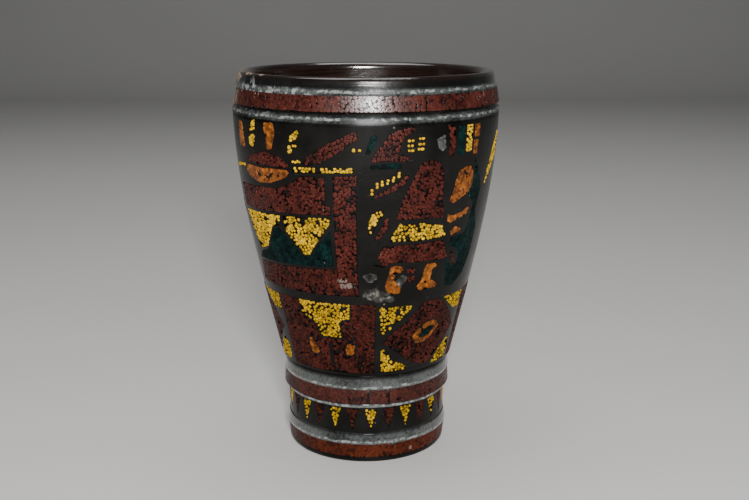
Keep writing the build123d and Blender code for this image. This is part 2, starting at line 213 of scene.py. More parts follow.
def blend(tree, share, first, second):
    """Colour first where share is 0, and second where it is 1."""
    step = add(tree, "Mix", data_type="RGBA")
    for number, value in ((0, share), (6, first), (7, second)):
        join(tree, value, step.inputs[number])
    return step.outputs[2]


# %% Coordinates, noises and relief
def coordinates(tree):
    """Where a point lies in its own object, in metres."""
    return add(tree, "TexCoord").outputs["Object"]


def noise(tree, where, scale, detail=4.0, roughness=0.55, stretch=None):
    """A noise's value, from 0 to 1, on coordinates that may be stretched along X, Y and Z."""
    if stretch is not None:
        step = add(tree, "VectorMath", {0: where, 1: stretch}, operation="MULTIPLY")
        where = step.outputs[0]
    inputs = {"Vector": where, "Scale": scale, "Detail": detail, "Roughness": roughness}
    return add(tree, "TexNoise", inputs).outputs["Fac"]


def bumped(tree, height, distance, strength=1.0, under=None):
    """A normal bent by a height that is in 0 to 1, worth distance metres."""
    inputs = {"Height": height, "Distance": distance, "Strength": strength}
    if under is not None:
        inputs["Normal"] = under
    return add(tree, "Bump", inputs).outputs["Normal"]


# %% A fresh material
def new_material(name):
    """A material with an empty tree and its shader, ready to be filled."""
    material = bpy.data.materials.new(name)
    material.use_nodes = True
    tree = material.node_tree
    tree.nodes.clear()
    shader = tree.nodes.new("ShaderNodeBsdfPrincipled")
    out = tree.nodes.new("ShaderNodeOutputMaterial")
    tree.links.new(shader.outputs["BSDF"], out.inputs["Surface"])
    return material, tree, shader


# %% [markdown]
# ## Paper
# The sweep is heavy off-white paper, matt, with a faint tooth and slight clouds of tone. One flat
# colour would look like plastic, so a wide noise gives the clouds and a fine one the tooth.

# %% The floor's paper
PAPER_SHADED = (0.60, 0.59, 0.57, 1)
PAPER_LIT = (0.66, 0.65, 0.63, 1)


def paper():
    material, tree, shader = new_material("paper")
    where = coordinates(tree)
    tooth = noise(tree, where, 900.0)
    colour = blend(tree, noise(tree, where, 3.0), PAPER_SHADED, PAPER_LIT)
    join(tree, colour, shader.inputs["Base Color"])
    join(tree, ramp(tree, tooth, 0.2, 0.8, 0.85, 0.95), shader.inputs["Roughness"])
    join(tree, bumped(tree, tooth, 0.1 * MM, 0.3), shader.inputs["Normal"])
    return material


floor.data.materials.append(paper())
print("floor's material:", floor.data.materials[0].name)

# %% [markdown]
# ## Shared effects
# Several finishes need the same things: to know where a point lies round the beaker, a mask for a
# ring at some height, a ragged worn spot, fine scratches and dust specks. Each is a node group,
# built once, with its own named inputs, so that every material sets its own values. A group gives
# out only masks and numbers.

# %% A new group with named sockets
def new_group(name, inputs, outputs):
    """A shader group. inputs are (name, default), and outputs are names of float sockets."""
    group = bpy.data.node_groups.new(name, "ShaderNodeTree")
    for label, default in inputs:
        kind = "NodeSocketVector" if isinstance(default, tuple) else "NodeSocketFloat"
        socket = group.interface.new_socket(label, in_out="INPUT", socket_type=kind)
        socket.default_value = default
    for label in outputs:
        group.interface.new_socket(label, in_out="OUTPUT", socket_type="NodeSocketFloat")
    start = group.nodes.new("NodeGroupInput")
    end = group.nodes.new("NodeGroupOutput")
    return group, start.outputs, end.inputs


def give_out(group, out, **results):
    """Joins a group's results to its outputs, and returns the finished group."""
    for name, value in results.items():
        group.links.new(value, out[name])
    return group


def use_group(tree, group, **inputs):
    """Places a group in a tree. Input names are written with _ for a space."""
    made = add(tree, "Group", node_tree=group)
    for name, value in inputs.items():
        join(tree, value, made.inputs[name.replace("_", " ").capitalize()])
    return made.outputs


# %% Where a point lies on the beaker
def build_place_group():
    """Angle from the front in degrees, height in mm, and how far a face looks inwards or down."""
    group, _, out = new_group("place_on_beaker", [], ["Angle", "Height", "Inward", "Down"])
    xyz = add(group, "SeparateXYZ", {0: coordinates(group)}).outputs
    turn = sums(group, "ARCTAN2", xyz["X"], product(group, xyz["Y"], -1.0))
    squares = [sums(group, "POWER", xyz[axis], 2.0) for axis in ("X", "Y")]
    radius = sums(group, "SQRT", sums(group, "ADD", *squares))
    normal = add(group, "NewGeometry").outputs["Normal"]
    facing = add(group, "SeparateXYZ", {0: normal}).outputs
    outward = sums(group, "MULTIPLY_ADD", facing["Y"], xyz["Y"], product(group, facing["X"], xyz["X"]))
    return give_out(
        group, out,
        Angle=sums(group, "DEGREES", turn),
        Height=sums(group, "DIVIDE", xyz["Z"], MM),
        Inward=product(group, sums(group, "DIVIDE", outward, radius), -1.0),
        Down=product(group, facing["Z"], -1.0),
    )


place_group = build_place_group()
print("place group:", len(place_group.nodes), "nodes")


# %% A ring between two heights
def build_ring_group():
    """1 between Low and High, soft at both edges by Soft, which a noise makes uneven."""
    inputs = [("Height", 0.0), ("Low", 0.0), ("High", 1.0), ("Soft", 0.3), ("Uneven", 0.3)]
    group, given, out = new_group("ring_mask", inputs, ["Mask"])
    wobble = noise(group, coordinates(group), 240.0, 3.0, 0.5)
    centred = sums(group, "SUBTRACT", wobble, 0.5)
    shift = product(group, centred, product(group, given["Uneven"], 4.0))
    height = sums(group, "ADD", given["Height"], shift)
    start = sums(group, "SUBTRACT", given["Low"], given["Soft"])
    end = sums(group, "ADD", given["High"], given["Soft"])
    below = ramp(group, height, start, given["Low"])
    above = ramp(group, height, given["High"], end, 1.0, 0.0)
    return give_out(group, out, Mask=product(group, below, above))


ring_group = build_ring_group()
print("ring group:", len(ring_group.nodes), "nodes")


# %% A ragged worn spot
def build_spot_group():
    """An oval spot at an angle and a height, with edges broken up by a noise."""
    inputs = [
        ("Angle", 0.0), ("Height", 0.0), ("At angle", 0.0), ("At height", 0.0),
        ("Half width", 5.0), ("Half height", 5.0), ("Ragged", 0.6), ("Grain size", 400.0),
    ]
    group, given, out = new_group("worn_spot", inputs, ["Mask"])
    rough = noise(group, coordinates(group), given["Grain size"], 5.0, 0.5)
    across = sums(group, "SUBTRACT", given["Angle"], given["At angle"])
    across = sums(group, "DIVIDE", across, given["Half width"])
    up = sums(group, "SUBTRACT", given["Height"], given["At height"])
    up = sums(group, "DIVIDE", up, given["Half height"])
    far = sums(group, "ADD", product(group, across, across), product(group, up, up))
    rough = product(group, sums(group, "SUBTRACT", rough, 0.5), 4.0)
    edge = sums(group, "MULTIPLY_ADD", rough, given["Ragged"], far)
    return give_out(group, out, Mask=ramp(group, edge, 0.6, 1.0, 1.0, 0.0))


spot_group = build_spot_group()
print("spot group:", len(spot_group.nodes), "nodes")


def spots_mask(tree, place, spots, ragged, grain_size):
    """Ragged spots (angle, height, half width, half height), the strongest at each point."""
    shared = {"angle": place["Angle"], "height": place["Height"]}
    shared.update(ragged=ragged, grain_size=grain_size)
    masks = []
    for spot in spots:
        size = dict(zip(("at_angle", "at_height", "half_width", "half_height"), spot))
        masks.append(use_group(tree, spot_group, **shared, **size)["Mask"])
    return strongest(tree, *masks)


# %% Fine scratches
def build_scratch_group():
    """Thin lines along one direction. Stretch sets how the pattern is squeezed along X, Y and Z."""
    inputs = [("Stretch", (1.0, 1.0, 0.1)), ("Scale", 900.0), ("Amount", 0.5)]
    group, given, out = new_group("fine_scratches", inputs, ["Mask"])
    where = coordinates(group)
    lines = noise(group, where, given["Scale"], 2.0, 0.5, given["Stretch"])
    patchy = noise(group, where, 60.0, 2.0, 0.5)
    start = sums(group, "MULTIPLY_ADD", given["Amount"], -0.3, 0.8)
    thin = ramp(group, lines, start, sums(group, "ADD", start, 0.06))
    there = ramp(group, patchy, 0.45, 0.6)
    return give_out(group, out, Mask=product(group, thin, there))


scratch_group = build_scratch_group()
print("scratch group:", len(scratch_group.nodes), "nodes")


# %% Pale specks of dust
def build_speck_group():
    """Small scattered dots: the middles of a few cells of a Voronoi pattern."""
    inputs = [("Scale", 300.0), ("Size", 0.18), ("Share", 0.12)]
    group, given, out = new_group("dust_specks", inputs, ["Mask"])
    pattern = {"Vector": coordinates(group), "Scale": given["Scale"]}
    cells = add(group, "TexVoronoi", pattern).outputs
    lottery = add(group, "SeparateColor", {0: cells["Color"]}).outputs[0]
    chosen = sums(group, "LESS_THAN", lottery, given["Share"])
    half = product(group, given["Size"], 0.5)
    dot = ramp(group, cells["Distance"], half, given["Size"], 1.0, 0.0)
    return give_out(group, out, Mask=product(group, dot, chosen))


speck_group = build_speck_group()
print("groups:", [g.name for g in bpy.data.node_groups])

# %% [markdown]
# ## Wood under lacquer
# The block is dark hardwood with an aged lacquer, nearly black outside and brown-black inside. All
# of it is one surface, so it is one material: a base colour, then masks that lay each kind of wear
# over it, and painted sheen on the rings. The rings' heights are read from the mastic bands of the
# solid model. Several layers use the same three noises, a wide one, a fine one and the lathe's
# lines, so a small class holds them.

# %% What every layer of the finish uses
class Wood:
    """The tree of the wood's material, where a point lies, and the noises that layers share."""

    def __init__(self, tree):
        self.tree = tree
        self.where = coordinates(tree)
        self.place = use_group(tree, place_group)
        self.height = self.place["Height"]
        self.cloud = noise(tree, self.where, 55.0)
        self.fine = noise(tree, self.where, 700.0)
        self.turning = noise(tree, self.where, 60.0, 3.0, 0.6, (0.4, 0.4, 26.0))
        self.inside = ramp(tree, self.place["Inward"], 0.1, 0.4)
        self.outside = sums(tree, "SUBTRACT", 1.0, self.inside)


# %% Heights of the bands and the lip
def heights(node):
    """Lowest and highest point of a CAD node, in mm."""
    low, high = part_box(node)
    return low.z / MM, high.z / MM


base_band, waist_band, rim_band = map(heights, ("base_band", "waist_band", "rim_band"))
lip_low = rim_band[1] + 3.7
body_top = rim_band[0] - 2.4
print("base, waist and rim band, mm:", base_band, waist_band, rim_band)

# %% Lacquer
LACQUER_DARK = (0.0022, 0.002, 0.0018, 1)
LACQUER_LIT = (0.0065, 0.0062, 0.0055, 1)
INSIDE_DARK = (0.004, 0.0018, 0.0012, 1)
INSIDE_LIT = (0.019, 0.0085, 0.0055, 1)


def lacquer(wood):
    """Black lacquer outside, and brown with marks of the lathe inside and on top of the lip."""
    tree = wood.tree
    black = blend(tree, ramp(tree, wood.cloud, 0.35, 0.7), LACQUER_DARK, LACQUER_LIT)
    brown = blend(tree, ramp(tree, wood.turning, 0.35, 0.7), INSIDE_DARK, INSIDE_LIT)
    brown_lip = ramp(tree, wood.height, lip_low + 0.5, lip_low + 3.5, 0.0, 0.8)
    return blend(tree, strongest(tree, wood.inside, brown_lip), black, brown)


# %% [markdown]
# ## Worn rings with painted sheen
# Hands have rubbed the lacquer on the turned edges for years, until it went a mottled grey. The grey
# is also painted sheen: it stands for the overhead light mirrored on the rings' up-facing slopes, and
# the pale broken lines along the sharpest edges are painted highlights. The left of the rim is worn
# most. Each ring is a mask between two heights, so wear and painted sheen follow the turning exactly,
# and noises break it up so that it doesn't look like a painted stripe.

# %% Grey rings of wear and painted sheen
SHEEN_AND_WEAR_GREY_DARK = (0.010, 0.011, 0.0105, 1)
SHEEN_AND_WEAR_GREY_PALE = (0.055, 0.061, 0.058, 1)
# Pale wear, which on the crest lines is a painted highlight.
PALE_WEAR_AND_CREST_HIGHLIGHT = (0.27, 0.285, 0.27, 1)
sheen_and_wear_rings = {  # lowest height, highest height and crest, in mm
    "base_ring": (base_band[1] + 0.2, base_band[1] + 3.4, base_band[1] + 0.9),
    "bead": (waist_band[0] - 2.1, waist_band[0] - 1.3, waist_band[0] - 1.7),
    "waist_ring": (waist_band[1] + 0.2, waist_band[1] + 3.6, waist_band[1] + 0.9),
    "body_edge": (rim_band[0] - 3.9, rim_band[0] - 2.3, rim_band[0] - 3.0),
    "rim_ring": (rim_band[1] + 0.2, rim_band[1] + 1.9, rim_band[1] + 1.4),
}
crest_soft = 0.6
worn_left = (-52.0, rim_band[1] - 1.0, 34.0, 9.0)  # angle, height, half width, half height


def sheen_and_wear_masks(tree, height):
    """Where the turned edges are grey with wear and painted sheen, and the painted highlight lines on
    their edges.
    """
    rings, crest_highlights = [], []
    for low, high, crest in sheen_and_wear_rings.values():
        # Wide soft edges let the painted sheen fade off each ring, as a reflection would.
        soft = max(crest_soft, 0.8 * (high - low))
        ring = {"low": low, "high": high, "soft": soft, "uneven": 0.25}
        # The crest line is a painted highlight.
        line = {"low": crest - 0.15, "high": crest + 0.35, "soft": crest_soft, "uneven": 0.5}
        rings.append(use_group(tree, ring_group, height=height, **ring)["Mask"])
        crest_highlights.append(use_group(tree, ring_group, height=height, **line)["Mask"])
    return strongest(tree, *rings), strongest(tree, *crest_highlights)


def paint_ring_sheen_and_wear(wood, colour):
    """The colour with grey rings of wear and painted sheen, pale wear and painted edge highlights laid
    over it, and the mask of the rings.
    """
    tree = wood.tree
    rings, crest_highlights = sheen_and_wear_masks(tree, wood.height)
    rings = product(tree, rings, wood.outside)
    fine_share = product(tree, wood.fine, 0.5)
    mottle = sums(tree, "MULTIPLY_ADD", wood.cloud, 0.5, fine_share)
    # Mottled grey of worn lacquer, which also stands for painted sheen of the overhead light.
    grey = blend(tree, ramp(tree, mottle, 0.36, 0.62), SHEEN_AND_WEAR_GREY_DARK, SHEEN_AND_WEAR_GREY_PALE)
    worn_through = product(tree, rings, ramp(tree, wood.fine, 0.2, 0.5, 0.6, 1.0))
    colour = blend(tree, worn_through, colour, grey)

    left_rub = spots_mask(tree, wood.place, [worn_left], 0.3, 300.0)
    flecks = ramp(tree, noise(tree, wood.where, 380.0, 5.0, 0.7), 0.46, 0.6)
    # Painted highlights on the crest lines, broken into flecks, and pale wear at the left of the rim.
    crest_highlights = product(tree, crest_highlights, ramp(tree, flecks, 0.0, 1.0, 0.1, 0.8))
    pale = strongest(tree, product(tree, left_rub, rings, flecks), crest_highlights)
    pale = product(tree, pale, wood.outside)
    return blend(tree, pale, colour, PALE_WEAR_AND_CREST_HIGHLIGHT), rings


print("burnished rings, mm:", {k: tuple(round(h, 1) for h in v) for k, v in sheen_and_wear_rings.items()})

# %% [markdown]
# ## Bare wood
# At the left end of the lip the lacquer and a length of the rim band are gone, and the tan
# hardwood shows. The underside was never lacquered either. The grain runs up the block, so its
# noise is stretched along the height.

# %% Bare wood
BARE_WOOD_DARK = (0.085, 0.047, 0.028, 1)
BARE_WOOD_LIT = (0.40, 0.28, 0.20, 1)
bare_spots = [  # angle, height, half width and half height, in degrees and mm
    (-84.0, rim_band[1] - 3.5, 18.0, 5.5),
    (-76.0, lip_low + 1.5, 7.0, 2.6),
    (-92.0, lip_low, 9.0, 5.0),
    (-62.0, lip_low + 3.6, 4.0, 1.1),
    (-51.0, lip_low + 3.8, 3.0, 1.0),
]


def lay_bare(wood, colour):
    """The colour with bare wood where the lacquer is gone, and the masks of both bare places."""
    tree = wood.tree
    grain = noise(tree, wood.where, 120.0, 5.0, 0.6, (6.0, 6.0, 0.35))
    tan = blend(tree, ramp(tree, grain, 0.35, 0.65), BARE_WOOD_DARK, BARE_WOOD_LIT)
    bare = spots_mask(tree, wood.place, bare_spots, 0.8, 330.0)
    bare = product(tree, bare, wood.outside)
    colour = blend(tree, bare, colour, tan)
    near_table = ramp(tree, wood.height, 0.3, 1.2, 1.0, 0.0)
    underside = product(tree, ramp(tree, wood.place["Down"], 0.7, 0.95), near_table)
    return blend(tree, product(tree, underside, 0.85), colour, tan), bare, underside


print("bare wood at", bare_spots)

# %% [markdown]
# ## Scuffs, scratches and dust
# The lacquer is scuffed cream-grey near the feet of the right figure, scratched white up the left
# of the lip, and has faint lines all round from being wiped. A few specks of dust sit anywhere.
# Smears need a middling noise and scratches a stretched one, or they would look alike.

# %% Scuffs and scratches
SCUFF_GREY = (0.075, 0.072, 0.062, 1)
PALE_SCUFF = (0.34, 0.31, 0.26, 1)
WHITE_SCRATCH = (0.50, 0.53, 0.52, 1)
scuff_spots = [  # angle, height, half width and half height, in degrees and mm
    (5.0, 86.0, 6.0, 3.6),
    (16.5, 91.5, 4.0, 3.2),
    (9.0, 83.0, 6.0, 1.6),
    (2.0, 93.5, 3.0, 2.0),
]
scratched_lip = (-50.0, lip_low + 0.5, 22.0, 3.2)


def scuff(wood, colour):
    """The colour with cream-grey smears on it, and their mask."""
    tree = wood.tree
    smear = noise(tree, wood.where, 340.0, 3.0)
    scuffs = spots_mask(tree, wood.place, scuff_spots, 1.2, 230.0)
    scuffs = product(tree, scuffs, wood.outside, ramp(tree, smear, 0.3, 0.62, 0.1, 1.0))
    colour = blend(tree, product(tree, scuffs, 0.5), colour, SCUFF_GREY)
    flakes = product(tree, scuffs, ramp(tree, smear, 0.54, 0.74, 0.0, 0.5))
    return blend(tree, flakes, colour, PALE_SCUFF), scuffs


def scratch(wood, colour):
    """The colour with white scratches up the lip, faint ones all round, and specks of dust."""
    tree = wood.tree
    lip = spots_mask(tree, wood.place, [scratched_lip], 0.3, 300.0)
    upright = {"stretch": (1.0, 1.0, 0.06), "scale": 520.0, "amount": 0.75}
    around = {"stretch": (0.2, 0.2, 2.6), "scale": 900.0, "amount": 0.35}
    upright = use_group(tree, scratch_group, **upright)["Mask"]
    around = use_group(tree, scratch_group, **around)["Mask"]
    upright = product(tree, lip, upright, wood.outside)
    scratches = strongest(tree, upright, product(tree, around, 0.1))
    colour = blend(tree, product(tree, scratches, 0.7), colour, WHITE_SCRATCH)
    specks = use_group(tree, speck_group, scale=260.0, size=0.15, share=0.045)["Mask"]
    return blend(tree, product(tree, specks, 0.25), colour, PALE_SCUFF)


# %% [markdown]
# ## Gloss and relief
# The inside, the lip and the lower rings, which a hand holds, have kept or gained a polish. The
# body between the figures is duller, and bare wood and scuffs are matt. The relief has four
# scales: the rounded top edge of the body, soft waves, marks of the lathe, and pits. They are a
# bump and not geometry, because each is far smaller than a tenth of the wall.

# %% Gloss
coat_roughness = 0.13


def polish(wood, shader, rings, dull):
    """Sets how glossy the lacquer is, from where it is polished and where it is dull."""
    tree, height = wood.tree, wood.height
    lip = ramp(tree, height, lip_low - 5.5, lip_low - 0.5)
    held = ramp(tree, height, 60.0, 130.0, 0.85, 0.1)
    polished = strongest(tree, wood.inside, lip, product(tree, rings, held))
    gloss = ramp(tree, wood.cloud, 0.3, 0.75, 0.2, 0.32)
    gloss = sums(tree, "MULTIPLY_ADD", polished, -0.05, gloss)
    roughness = sums(tree, "MULTIPLY_ADD", dull, 0.42, gloss, clamp=True)
    join(tree, roughness, shader.inputs["Roughness"])
    unworn = ramp(tree, dull, 0.0, 0.6, 1.0, 0.0)
    varnish = product(tree, unworn, ramp(tree, polished, 0.0, 1.0, 0.04, 0.9))
    join(tree, varnish, shader.inputs["Coat Weight"])
    shader.inputs["Coat Roughness"].default_value = coat_roughness
    shine = ramp(tree, polished, 0.0, 1.0, 0.12, 0.7)
    shine = sums(tree, "MULTIPLY_ADD", wood.inside, 0.3, shine)
    join(tree, shine, shader.inputs["Specular IOR Level"])


# %% Relief
def carve(wood, shader):
    """Bends the normal: the body's rounded top edge, soft waves, lathe marks and pits."""
    tree = wood.tree
    falling = ramp(tree, wood.height, body_top - 3.8, body_top + 0.4, 1.0, 0.0)
    rounded = bumped(tree, product(tree, falling, wood.outside), 0.55 * MM)
    wave_strength = ramp(tree, wood.inside, 0.0, 1.0, 0.5, 1.0)
    wavy = bumped(tree, wood.cloud, 0.25 * MM, wave_strength, rounded)
    lathe_strength = ramp(tree, wood.inside, 0.0, 1.0, 0.6, 1.0)
    lathe = bumped(tree, wood.turning, 0.06 * MM, lathe_strength, wavy)
    pits = bumped(tree, wood.fine, 0.05 * MM, 0.7, lathe)
    join(tree, pits, shader.inputs["Normal"])


# %% The whole finish, put on the vessel
def lacquered_wood():
    """All layers of the finish in one material."""
    material, tree, shader = new_material("lacquered_wood")
    wood = Wood(tree)
    colour, rings = paint_ring_sheen_and_wear(wood, lacquer(wood))
    colour, bare, underside = lay_bare(wood, colour)
    colour, scuffs = scuff(wood, colour)
    join(tree, scratch(wood, colour), shader.inputs["Base Color"])
    polish(wood, shader, rings, strongest(tree, bare, scuffs, underside))
    carve(wood, shader)
    return material


vessel_material = lacquered_wood()
vessel = cad_nodes["vessel_body"]
vessel.data.materials.clear()
vessel.data.materials.append(vessel_material)
print(vessel_material.name, "has", len(vessel_material.node_tree.nodes), "nodes")
print("vessel mesh:", len(vessel.data.vertices), "vertices")

# %% [markdown]
# ## Mastic, pressed in as dabs
# Soft coloured resin was pressed into each pocket as small balls, one beside the other. Where they
# run together only little dark pits are left between them, and where they stay apart they look
# like beads. A bump texture could hint at that, but close up the dabs are real lumps with real
# gaps, so each one is made as its own small dome. The pocket outlines come from the solid model:
# the outward face of every inlay is found, and its border is followed.

# %% Faces that look outwards, in groups
OUTWARD = 0.75  # how far a face must agree with the direction away from the axis


def outward_faces(mesh):
    """Faces of an inlay that look away from the beaker's axis."""
    found = []
    for face in mesh.faces:
        middle = face.calc_center_median()
        radial = Vector((middle.x, middle.y, 0)).normalized()
        if face.normal.dot(radial) > OUTWARD:
            found.append(face)
    return found


def islands(faces):
    """Groups of faces that share edges, which are the separate solids of one inlay node."""
    left = {face.index: face for face in faces}
    groups = []
    while left:
        group = [left.pop(next(iter(left)))]
        for face in group:
            for edge in face.edges:
                for near in edge.link_faces:
                    if near.index in left:
                        group.append(left.pop(near.index))
        groups.append(group)
    return groups


# %% Outlines of the pockets
MERGE_DISTANCE = 0.002 * MM


def border_loops(group):
    """The closed borders of a group of faces, as lists of points in order."""
    members = {face.index for face in group}
    follow = {}
    for face in group:
        for loop in face.loops:
            beyond = [other.index for other in loop.edge.link_faces if other.index != face.index]
            if members.isdisjoint(beyond):
                follow[loop.vert] = loop.link_loop_next.vert
    loops = []
    while follow:
        start, here = follow.popitem()
        points = [start.co.copy(), here.co.copy()]
        while here in follow:
            here = follow.pop(here)
            points.append(here.co.copy())
        loops.append(points[:-1])
    return loops


def pocket_borders(name):
    """Every pocket of a CAD node, as a list of border loops of points."""
    mesh = bmesh.new()
    mesh.from_mesh(cad_nodes[name].data)
    bmesh.ops.remove_doubles(mesh, verts=mesh.verts, dist=MERGE_DISTANCE)
    mesh.normal_update()
    mesh.faces.index_update()
    pockets = [border_loops(group) for group in islands(outward_faces(mesh))]
    mesh.free()
    return pockets


example = pocket_borders("robe_belt")
print("robe_belt has", len(example), "pockets; first border has", len(example[0][0]), "points")

# %% [markdown]
# ## Unrolling a pocket
# Dabs are easier to lay out on a flat sheet than on a flared cup. So each pocket is unrolled: its
# angle from the pocket's middle becomes a distance across, and its height stays. A point on the
# sheet goes back onto the cup with the surface's own radius at that height, which is read from
# the outward faces of the solid model.

# %% Radius of the surface by height
def surface_profile(names):
    """Heights and radii of the outward faces of some CAD nodes, sorted by height."""
    loops = [loop for name in names for pocket in pocket_borders(name) for loop in pocket]
    table = sorted((round(p.z, 5), hypot(p.x, p.y)) for loop in loops for p in loop)
    rows = {}
    for z, r in table:
        rows.setdefault(z, []).append(r)
    return np.array(list(rows)), np.array([sum(r) / len(r) for r in rows.values()])


band_names = ["rim_band", "waist_band", "base_band"]
frieze_names = ["frieze_yellow_triangles", "frieze_red_triangles"]
field_names = sorted(set(cad_nodes) - set(band_names) - set(frieze_names) - {"vessel_body"})
field_profile = surface_profile(field_names)
frieze_profile = surface_profile(frieze_names)
print("field radius, mm:", np.round(field_profile[1][[0, -1]] / MM, 1))


# %% A pocket on the flat sheet
class Pocket:
    """A pocket unrolled about its middle angle, with straight borders between its points."""

    def __init__(self, loops, profile):
        points = [p for loop in loops for p in loop]
        middle = sum(points, Vector()) / len(points)
        self.turn = atan2(middle.x, -middle.y)
        self.profile = profile
        self.radius = float(np.interp(middle.z, *profile))
        flat = [np.array([self.unrolled(p) for p in loop]) for loop in loops]
        self.starts = np.vstack(flat)
        self.ends = np.vstack([np.roll(loop, -1, axis=0) for loop in flat])

    def unrolled(self, point):
        angle = atan2(point.x, -point.y) - self.turn
        angle = (angle + pi) % (2 * pi) - pi
        return angle * self.radius, point.z

    def rolled(self, sheet, rise):
        """Points on the cup, from sheet points and how far they stand off the surface."""
        angle = sheet[:, 0] / self.radius + self.turn
        reach = np.interp(sheet[:, 1], *self.profile) + rise
        return np.column_stack([reach * np.sin(angle), -reach * np.cos(angle), sheet[:, 1]])

    def area(self):
        a, b = self.starts, self.ends
        return abs(float(np.sum(a[:, 0] * b[:, 1] - b[:, 0] * a[:, 1]))) / 2

    def inside(self, points):
        """Which points lie in the pocket: an odd number of borders lies to their right."""
        a, b = self.starts, self.ends
        x, y = points[:, :1], points[:, 1:]
        spans = (a[:, 1] > y) != (b[:, 1] > y)
        drop = np.where(b[:, 1] == a[:, 1], 1.0, b[:, 1] - a[:, 1])
        cross = a[:, 0] + (y - a[:, 1]) / drop * (b[:, 0] - a[:, 0])
        return np.sum(spans & (cross > x), axis=1) % 2 == 1


# %% A length of a turned channel
EDGE_TOLERANCE = 0.01 * MM


class Channel(Pocket):
    """Part of a ring between two angles in degrees, laid out as a strip."""

    def __init__(self, loops, start, end):
        points = [p for loop in loops for p in loop]
        low = min(p.z for p in points)
        high = max(p.z for p in points)
        low_radius = max(hypot(p.x, p.y) for p in points if p.z < low + EDGE_TOLERANCE)
        high_radius = max(hypot(p.x, p.y) for p in points if p.z > high - EDGE_TOLERANCE)
        self.profile = (np.array([low, high]), np.array([low_radius, high_radius]))
        self.turn = radians((start + end) / 2)
        self.radius = (low_radius + high_radius) / 2
        half = radians((end - start) / 2) * self.radius
        self.starts = np.array([(-half, low), (half, low), (half, high), (-half, high)])
        self.ends = np.roll(self.starts, -1, axis=0)


# %% [markdown]
# ## Laying out the dabs
# Hand-laid dabs are spread evenly but not in rows. That is what Lloyd's method gives: scatter
# points at random, then move each one to the middle of the area that is nearest to it. Near a
# border the dabs then follow its line, as they do when pressed in by hand.

# %% Spread the dabs evenly
HEXAGON_SHARE = 0.866  # of the spacing squared, which one dab takes in the tightest layout
CLOUD_POINTS = 26  # points for each dab that stand for the pocket's area
TRIES = 40
JITTER = 0.06  # of the spacing


def point_cloud(pocket, count, random):
    """At least CLOUD_POINTS random points in the pocket for each dab."""
    low, high = pocket.starts.min(0), pocket.starts.max(0)
    cloud = np.empty((0, 2))
    while len(cloud) < count * CLOUD_POINTS:
        tries = random.uniform(low, high, (count * TRIES, 2))
        cloud = np.vstack([cloud, tries[pocket.inside(tries)]])
    return cloud


def spread(pocket, spacing, squash, rounds, random):
    """Middles of the dabs. squash over 1 makes them wider, and more rounds more even."""
    count = max(1, round(pocket.area() / (HEXAGON_SHARE * spacing**2) - 0.4))
    cloud = point_cloud(pocket, count, random)
    scale = np.array([1.0 / squash, squash]) ** 0.5
    middles = cloud[random.choice(len(cloud), count, replace=False)]
    for _ in range(rounds):
        gaps = ((cloud[:, None, :] - middles[None, :, :]) * scale) ** 2
        nearest = gaps.sum(2).argmin(1)
        share = np.bincount(nearest, minlength=count)
        for axis in (0, 1):
            total = np.bincount(nearest, cloud[:, axis], minlength=count)
            found = total / np.maximum(share, 1)
            middles[:, axis] = np.where(share > 0, found, middles[:, axis])
    moved = middles + random.normal(0.0, JITTER * spacing, middles.shape)
    return np.where(pocket.inside(moved)[:, None], moved, middles)


# %% [markdown]
# ## How far each dab reaches
# A ball of resin that is pressed flat spreads until it meets its neighbour or the wall of the
# pocket. So rays go out from its middle, and each one ends at its own length, halfway to a
# neighbour or at the border, whichever comes first. That gives round beads where there is room
# and fitted shapes where there is none.

# %% Halfway to the neighbours
NEIGHBOURS = 10


def to_neighbours(middles, rays, gap, reach):
    """The reach along each ray, cut where it passes halfway to a neighbour, less half a gap."""
    apart = middles[None, :, :] - middles[:, None, :]
    far2 = (apart**2).sum(2)
    np.fill_diagonal(far2, np.inf)
    order = np.argsort(far2, axis=1)[:, : min(NEIGHBOURS, len(middles) - 1)]
    for near in order.T:
        away = middles[near] - middles
        along = away @ rays.T
        half = (away**2).sum(1)[:, None] / 2
        meet = np.where(along > 1e-9, half / np.maximum(along, 1e-9), np.inf) - gap / 2
        reach = np.minimum(reach, meet)
    return reach


# %% Up to the border
BORDER_GAP = 0.02 * MM
LEAST_REACH = 0.08 * MM


def to_border(pocket, middles, ray):
    """Distance from each middle to the pocket's border along one ray."""
    a, edge = pocket.starts, pocket.ends - pocket.starts
    start = a[None, :, :] - middles[:, None, :]
    across = ray[0] * edge[:, 1] - ray[1] * edge[:, 0]
    safe = np.where(np.abs(across) < 1e-12, 1e-12, across)
    far = (start[:, :, 0] * edge[:, 1] - start[:, :, 1] * edge[:, 0]) / safe
    share = (start[:, :, 0] * ray[1] - start[:, :, 1] * ray[0]) / safe
    on_edge = (share >= -1e-6) & (share <= 1 + 1e-6) & (np.abs(across) >= 1e-12)
    return np.where((far > 0) & on_edge, far, np.inf).min(1)


def reaches(pocket, middles, rays, limit, gap):
    """Distance from each dab's middle to its edge along each ray, with corners rounded off."""
    reach = to_neighbours(middles, rays, gap, limit)
    for number, ray in enumerate(rays):
        wall = to_border(pocket, middles, ray) - BORDER_GAP
        reach[:, number] = np.minimum(reach[:, number], wall)
    rounded = (np.roll(reach, 1, 1) + 2 * reach + np.roll(reach, -1, 1)) / 4
    return np.maximum(np.minimum(reach, rounded), LEAST_REACH)


# %% [markdown]
# ## From outline to dome
# Each dab is a stack of shrinking outlines: one on the pocket's floor, one at the surface of the
# wood, two more up the dome and a point on top. A subdivided sphere would need far more faces for
# the same roundness. Two values are stored on the mesh for the material to use: a random number
# for each dab, and how high up its dome a point is, which is where dirt and painted shade gather or
# the top wears off.

